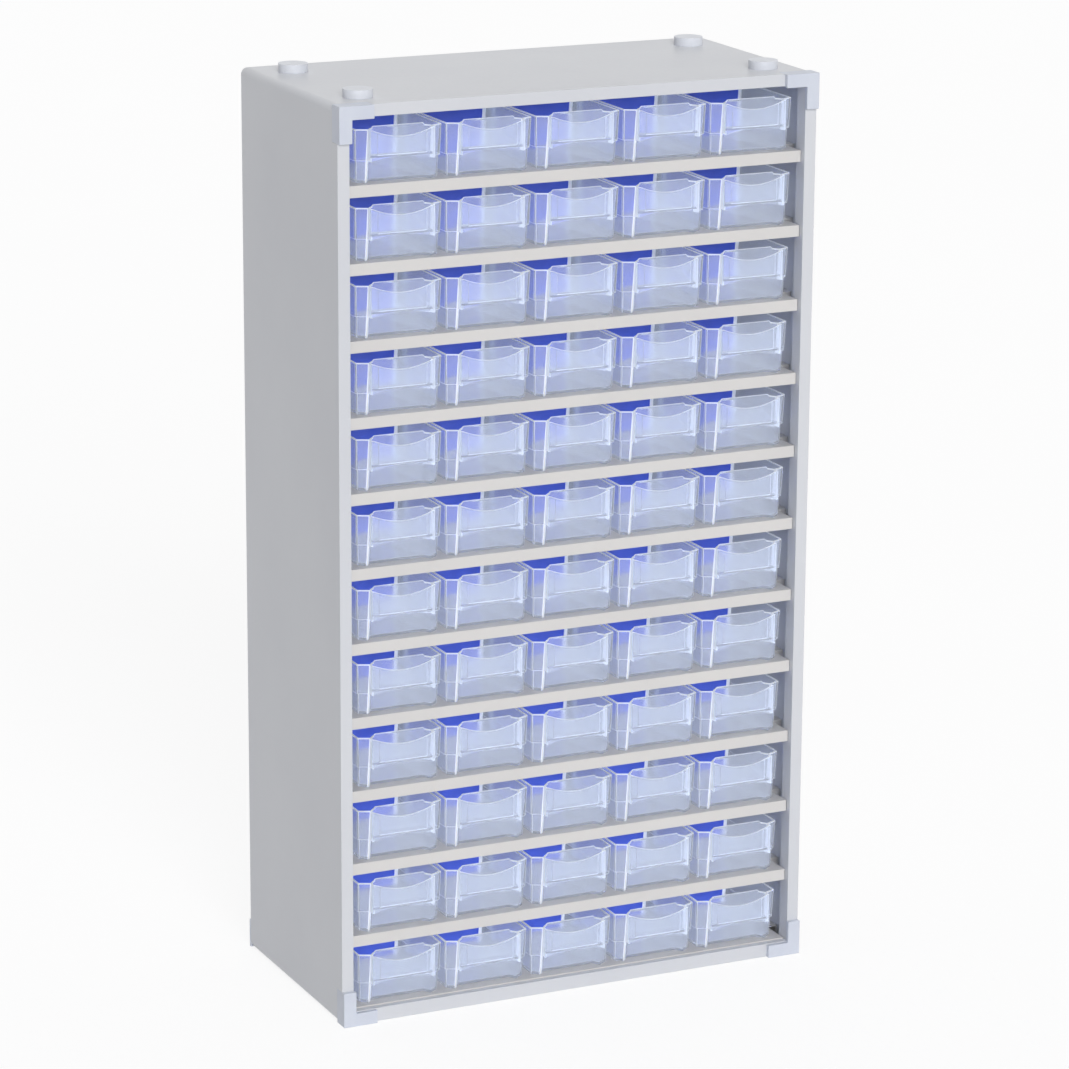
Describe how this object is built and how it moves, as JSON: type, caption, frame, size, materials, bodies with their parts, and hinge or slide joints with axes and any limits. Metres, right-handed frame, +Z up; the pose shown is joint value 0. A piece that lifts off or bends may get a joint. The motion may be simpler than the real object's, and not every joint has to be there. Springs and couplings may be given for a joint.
{
  "type": "small parts drawer cabinet",
  "caption": "Tall sheet steel cabinet with a grid of clear sliding drawers, each with a label pocket and a blue divider, plastic corner caps and stacking studs.",
  "frame": {"origin": "on the floor, under the middle of the cabinet", "axes": "+Z up, the drawers open towards -Y, +X to the right of someone facing the drawers"},
  "size_m": [0.306, 0.152, 0.556],
  "materials": {
    "painted_steel": "satin paint",
    "cap_plastic": "moulded",
    "stud_plastic": "moulded",
    "clear_plastic": "milky clear"
  },
  "bodies": {
    "cabinet": {"housing_shell": "painted_steel", "back_panel": "painted_steel", "floor_shelf": "painted_steel", "shelves": "painted_steel", "front_corner_caps": "cap_plastic", "rear_corner_caps": "cap_plastic", "stacking_studs": "stud_plastic"},
    "drawer_r01_c1": {"drawer_r01_c1": "clear_plastic"},
    "drawer_r01_c2": {"drawer_r01_c2": "clear_plastic"},
    "drawer_r01_c3": {"drawer_r01_c3": "clear_plastic"},
    "drawer_r01_c4": {"drawer_r01_c4": "clear_plastic"},
    "drawer_r01_c5": {"drawer_r01_c5": "clear_plastic"},
    "drawer_r02_c1": {"drawer_r02_c1": "clear_plastic"},
    "drawer_r02_c2": {"drawer_r02_c2": "clear_plastic"},
    "drawer_r02_c3": {"drawer_r02_c3": "clear_plastic"},
    "drawer_r02_c4": {"drawer_r02_c4": "clear_plastic"},
    "drawer_r02_c5": {"drawer_r02_c5": "clear_plastic"},
    "drawer_r03_c1": {"drawer_r03_c1": "clear_plastic"},
    "drawer_r03_c2": {"drawer_r03_c2": "clear_plastic"},
    "drawer_r03_c3": {"drawer_r03_c3": "clear_plastic"},
    "drawer_r03_c4": {"drawer_r03_c4": "clear_plastic"},
    "drawer_r03_c5": {"drawer_r03_c5": "clear_plastic"},
    "drawer_r04_c1": {"drawer_r04_c1": "clear_plastic"},
    "drawer_r04_c2": {"drawer_r04_c2": "clear_plastic"},
    "drawer_r04_c3": {"drawer_r04_c3": "clear_plastic"},
    "drawer_r04_c4": {"drawer_r04_c4": "clear_plastic"},
    "drawer_r04_c5": {"drawer_r04_c5": "clear_plastic"},
    "drawer_r05_c1": {"drawer_r05_c1": "clear_plastic"},
    "drawer_r05_c2": {"drawer_r05_c2": "clear_plastic"},
    "drawer_r05_c3": {"drawer_r05_c3": "clear_plastic"},
    "drawer_r05_c4": {"drawer_r05_c4": "clear_plastic"},
    "drawer_r05_c5": {"drawer_r05_c5": "clear_plastic"},
    "drawer_r06_c1": {"drawer_r06_c1": "clear_plastic"},
    "drawer_r06_c2": {"drawer_r06_c2": "clear_plastic"},
    "drawer_r06_c3": {"drawer_r06_c3": "clear_plastic"},
    "drawer_r06_c4": {"drawer_r06_c4": "clear_plastic"},
    "drawer_r06_c5": {"drawer_r06_c5": "clear_plastic"},
    "drawer_r07_c1": {"drawer_r07_c1": "clear_plastic"},
    "drawer_r07_c2": {"drawer_r07_c2": "clear_plastic"},
    "drawer_r07_c3": {"drawer_r07_c3": "clear_plastic"},
    "drawer_r07_c4": {"drawer_r07_c4": "clear_plastic"},
    "drawer_r07_c5": {"drawer_r07_c5": "clear_plastic"},
    "drawer_r08_c1": {"drawer_r08_c1": "clear_plastic"},
    "drawer_r08_c2": {"drawer_r08_c2": "clear_plastic"},
    "drawer_r08_c3": {"drawer_r08_c3": "clear_plastic"},
    "drawer_r08_c4": {"drawer_r08_c4": "clear_plastic"},
    "drawer_r08_c5": {"drawer_r08_c5": "clear_plastic"},
    "drawer_r09_c1": {"drawer_r09_c1": "clear_plastic"},
    "drawer_r09_c2": {"drawer_r09_c2": "clear_plastic"},
    "drawer_r09_c3": {"drawer_r09_c3": "clear_plastic"},
    "drawer_r09_c4": {"drawer_r09_c4": "clear_plastic"},
    "drawer_r09_c5": {"drawer_r09_c5": "clear_plastic"},
    "drawer_r10_c1": {"drawer_r10_c1": "clear_plastic"},
    "drawer_r10_c2": {"drawer_r10_c2": "clear_plastic"},
    "drawer_r10_c3": {"drawer_r10_c3": "clear_plastic"},
    "drawer_r10_c4": {"drawer_r10_c4": "clear_plastic"},
    "drawer_r10_c5": {"drawer_r10_c5": "clear_plastic"},
    "drawer_row_11": {"drawer_row_11": "clear_plastic"},
    "drawer_row_12": {"drawer_row_12": "clear_plastic"}
  },
  "joints": [
    {"name": "drawer_r01_c1_slide", "type": "slide", "parent": "cabinet", "child": "drawer_r01_c1", "axis": [0, -1, 0], "range_m": [0, 0.115]},
    {"name": "drawer_r01_c2_slide", "type": "slide", "parent": "cabinet", "child": "drawer_r01_c2", "axis": [0, -1, 0], "range_m": [0, 0.115]},
    {"name": "drawer_r01_c3_slide", "type": "slide", "parent": "cabinet", "child": "drawer_r01_c3", "axis": [0, -1, 0], "range_m": [0, 0.115]},
    {"name": "drawer_r01_c4_slide", "type": "slide", "parent": "cabinet", "child": "drawer_r01_c4", "axis": [0, -1, 0], "range_m": [0, 0.115]},
    {"name": "drawer_r01_c5_slide", "type": "slide", "parent": "cabinet", "child": "drawer_r01_c5", "axis": [0, -1, 0], "range_m": [0, 0.115]},
    {"name": "drawer_r02_c1_slide", "type": "slide", "parent": "cabinet", "child": "drawer_r02_c1", "axis": [0, -1, 0], "range_m": [0, 0.115]},
    {"name": "drawer_r02_c2_slide", "type": "slide", "parent": "cabinet", "child": "drawer_r02_c2", "axis": [0, -1, 0], "range_m": [0, 0.115]},
    {"name": "drawer_r02_c3_slide", "type": "slide", "parent": "cabinet", "child": "drawer_r02_c3", "axis": [0, -1, 0], "range_m": [0, 0.115]},
    {"name": "drawer_r02_c4_slide", "type": "slide", "parent": "cabinet", "child": "drawer_r02_c4", "axis": [0, -1, 0], "range_m": [0, 0.115]},
    {"name": "drawer_r02_c5_slide", "type": "slide", "parent": "cabinet", "child": "drawer_r02_c5", "axis": [0, -1, 0], "range_m": [0, 0.115]},
    {"name": "drawer_r03_c1_slide", "type": "slide", "parent": "cabinet", "child": "drawer_r03_c1", "axis": [0, -1, 0], "range_m": [0, 0.115]},
    {"name": "drawer_r03_c2_slide", "type": "slide", "parent": "cabinet", "child": "drawer_r03_c2", "axis": [0, -1, 0], "range_m": [0, 0.115]},
    {"name": "drawer_r03_c3_slide", "type": "slide", "parent": "cabinet", "child": "drawer_r03_c3", "axis": [0, -1, 0], "range_m": [0, 0.115]},
    {"name": "drawer_r03_c4_slide", "type": "slide", "parent": "cabinet", "child": "drawer_r03_c4", "axis": [0, -1, 0], "range_m": [0, 0.115]},
    {"name": "drawer_r03_c5_slide", "type": "slide", "parent": "cabinet", "child": "drawer_r03_c5", "axis": [0, -1, 0], "range_m": [0, 0.115]},
    {"name": "drawer_r04_c1_slide", "type": "slide", "parent": "cabinet", "child": "drawer_r04_c1", "axis": [0, -1, 0], "range_m": [0, 0.115]},
    {"name": "drawer_r04_c2_slide", "type": "slide", "parent": "cabinet", "child": "drawer_r04_c2", "axis": [0, -1, 0], "range_m": [0, 0.115]},
    {"name": "drawer_r04_c3_slide", "type": "slide", "parent": "cabinet", "child": "drawer_r04_c3", "axis": [0, -1, 0], "range_m": [0, 0.115]},
    {"name": "drawer_r04_c4_slide", "type": "slide", "parent": "cabinet", "child": "drawer_r04_c4", "axis": [0, -1, 0], "range_m": [0, 0.115]},
    {"name": "drawer_r04_c5_slide", "type": "slide", "parent": "cabinet", "child": "drawer_r04_c5", "axis": [0, -1, 0], "range_m": [0, 0.115]},
    {"name": "drawer_r05_c1_slide", "type": "slide", "parent": "cabinet", "child": "drawer_r05_c1", "axis": [0, -1, 0], "range_m": [0, 0.115]},
    {"name": "drawer_r05_c2_slide", "type": "slide", "parent": "cabinet", "child": "drawer_r05_c2", "axis": [0, -1, 0], "range_m": [0, 0.115]},
    {"name": "drawer_r05_c3_slide", "type": "slide", "parent": "cabinet", "child": "drawer_r05_c3", "axis": [0, -1, 0], "range_m": [0, 0.115]},
    {"name": "drawer_r05_c4_slide", "type": "slide", "parent": "cabinet", "child": "drawer_r05_c4", "axis": [0, -1, 0], "range_m": [0, 0.115]},
    {"name": "drawer_r05_c5_slide", "type": "slide", "parent": "cabinet", "child": "drawer_r05_c5", "axis": [0, -1, 0], "range_m": [0, 0.115]},
    {"name": "drawer_r06_c1_slide", "type": "slide", "parent": "cabinet", "child": "drawer_r06_c1", "axis": [0, -1, 0], "range_m": [0, 0.115]},
    {"name": "drawer_r06_c2_slide", "type": "slide", "parent": "cabinet", "child": "drawer_r06_c2", "axis": [0, -1, 0], "range_m": [0, 0.115]},
    {"name": "drawer_r06_c3_slide", "type": "slide", "parent": "cabinet", "child": "drawer_r06_c3", "axis": [0, -1, 0], "range_m": [0, 0.115]},
    {"name": "drawer_r06_c4_slide", "type": "slide", "parent": "cabinet", "child": "drawer_r06_c4", "axis": [0, -1, 0], "range_m": [0, 0.115]},
    {"name": "drawer_r06_c5_slide", "type": "slide", "parent": "cabinet", "child": "drawer_r06_c5", "axis": [0, -1, 0], "range_m": [0, 0.115]},
    {"name": "drawer_r07_c1_slide", "type": "slide", "parent": "cabinet", "child": "drawer_r07_c1", "axis": [0, -1, 0], "range_m": [0, 0.115]},
    {"name": "drawer_r07_c2_slide", "type": "slide", "parent": "cabinet", "child": "drawer_r07_c2", "axis": [0, -1, 0], "range_m": [0, 0.115]},
    {"name": "drawer_r07_c3_slide", "type": "slide", "parent": "cabinet", "child": "drawer_r07_c3", "axis": [0, -1, 0], "range_m": [0, 0.115]},
    {"name": "drawer_r07_c4_slide", "type": "slide", "parent": "cabinet", "child": "drawer_r07_c4", "axis": [0, -1, 0], "range_m": [0, 0.115]},
    {"name": "drawer_r07_c5_slide", "type": "slide", "parent": "cabinet", "child": "drawer_r07_c5", "axis": [0, -1, 0], "range_m": [0, 0.115]},
    {"name": "drawer_r08_c1_slide", "type": "slide", "parent": "cabinet", "child": "drawer_r08_c1", "axis": [0, -1, 0], "range_m": [0, 0.115]},
    {"name": "drawer_r08_c2_slide", "type": "slide", "parent": "cabinet", "child": "drawer_r08_c2", "axis": [0, -1, 0], "range_m": [0, 0.115]},
    {"name": "drawer_r08_c3_slide", "type": "slide", "parent": "cabinet", "child": "drawer_r08_c3", "axis": [0, -1, 0], "range_m": [0, 0.115]},
    {"name": "drawer_r08_c4_slide", "type": "slide", "parent": "cabinet", "child": "drawer_r08_c4", "axis": [0, -1, 0], "range_m": [0, 0.115]},
    {"name": "drawer_r08_c5_slide", "type": "slide", "parent": "cabinet", "child": "drawer_r08_c5", "axis": [0, -1, 0], "range_m": [0, 0.115]},
    {"name": "drawer_r09_c1_slide", "type": "slide", "parent": "cabinet", "child": "drawer_r09_c1", "axis": [0, -1, 0], "range_m": [0, 0.115]},
    {"name": "drawer_r09_c2_slide", "type": "slide", "parent": "cabinet", "child": "drawer_r09_c2", "axis": [0, -1, 0], "range_m": [0, 0.115]},
    {"name": "drawer_r09_c3_slide", "type": "slide", "parent": "cabinet", "child": "drawer_r09_c3", "axis": [0, -1, 0], "range_m": [0, 0.115]},
    {"name": "drawer_r09_c4_slide", "type": "slide", "parent": "cabinet", "child": "drawer_r09_c4", "axis": [0, -1, 0], "range_m": [0, 0.115]},
    {"name": "drawer_r09_c5_slide", "type": "slide", "parent": "cabinet", "child": "drawer_r09_c5", "axis": [0, -1, 0], "range_m": [0, 0.115]},
    {"name": "drawer_r10_c1_slide", "type": "slide", "parent": "cabinet", "child": "drawer_r10_c1", "axis": [0, -1, 0], "range_m": [0, 0.115]},
    {"name": "drawer_r10_c2_slide", "type": "slide", "parent": "cabinet", "child": "drawer_r10_c2", "axis": [0, -1, 0], "range_m": [0, 0.115]},
    {"name": "drawer_r10_c3_slide", "type": "slide", "parent": "cabinet", "child": "drawer_r10_c3", "axis": [0, -1, 0], "range_m": [0, 0.115]},
    {"name": "drawer_r10_c4_slide", "type": "slide", "parent": "cabinet", "child": "drawer_r10_c4", "axis": [0, -1, 0], "range_m": [0, 0.115]},
    {"name": "drawer_r10_c5_slide", "type": "slide", "parent": "cabinet", "child": "drawer_r10_c5", "axis": [0, -1, 0], "range_m": [0, 0.115]},
    {"name": "drawer_row_11_slide", "type": "slide", "parent": "cabinet", "child": "drawer_row_11", "axis": [0, -1, 0], "range_m": [0, 0.115]},
    {"name": "drawer_row_12_slide", "type": "slide", "parent": "cabinet", "child": "drawer_row_12", "axis": [0, -1, 0], "range_m": [0, 0.115]}
  ]
}
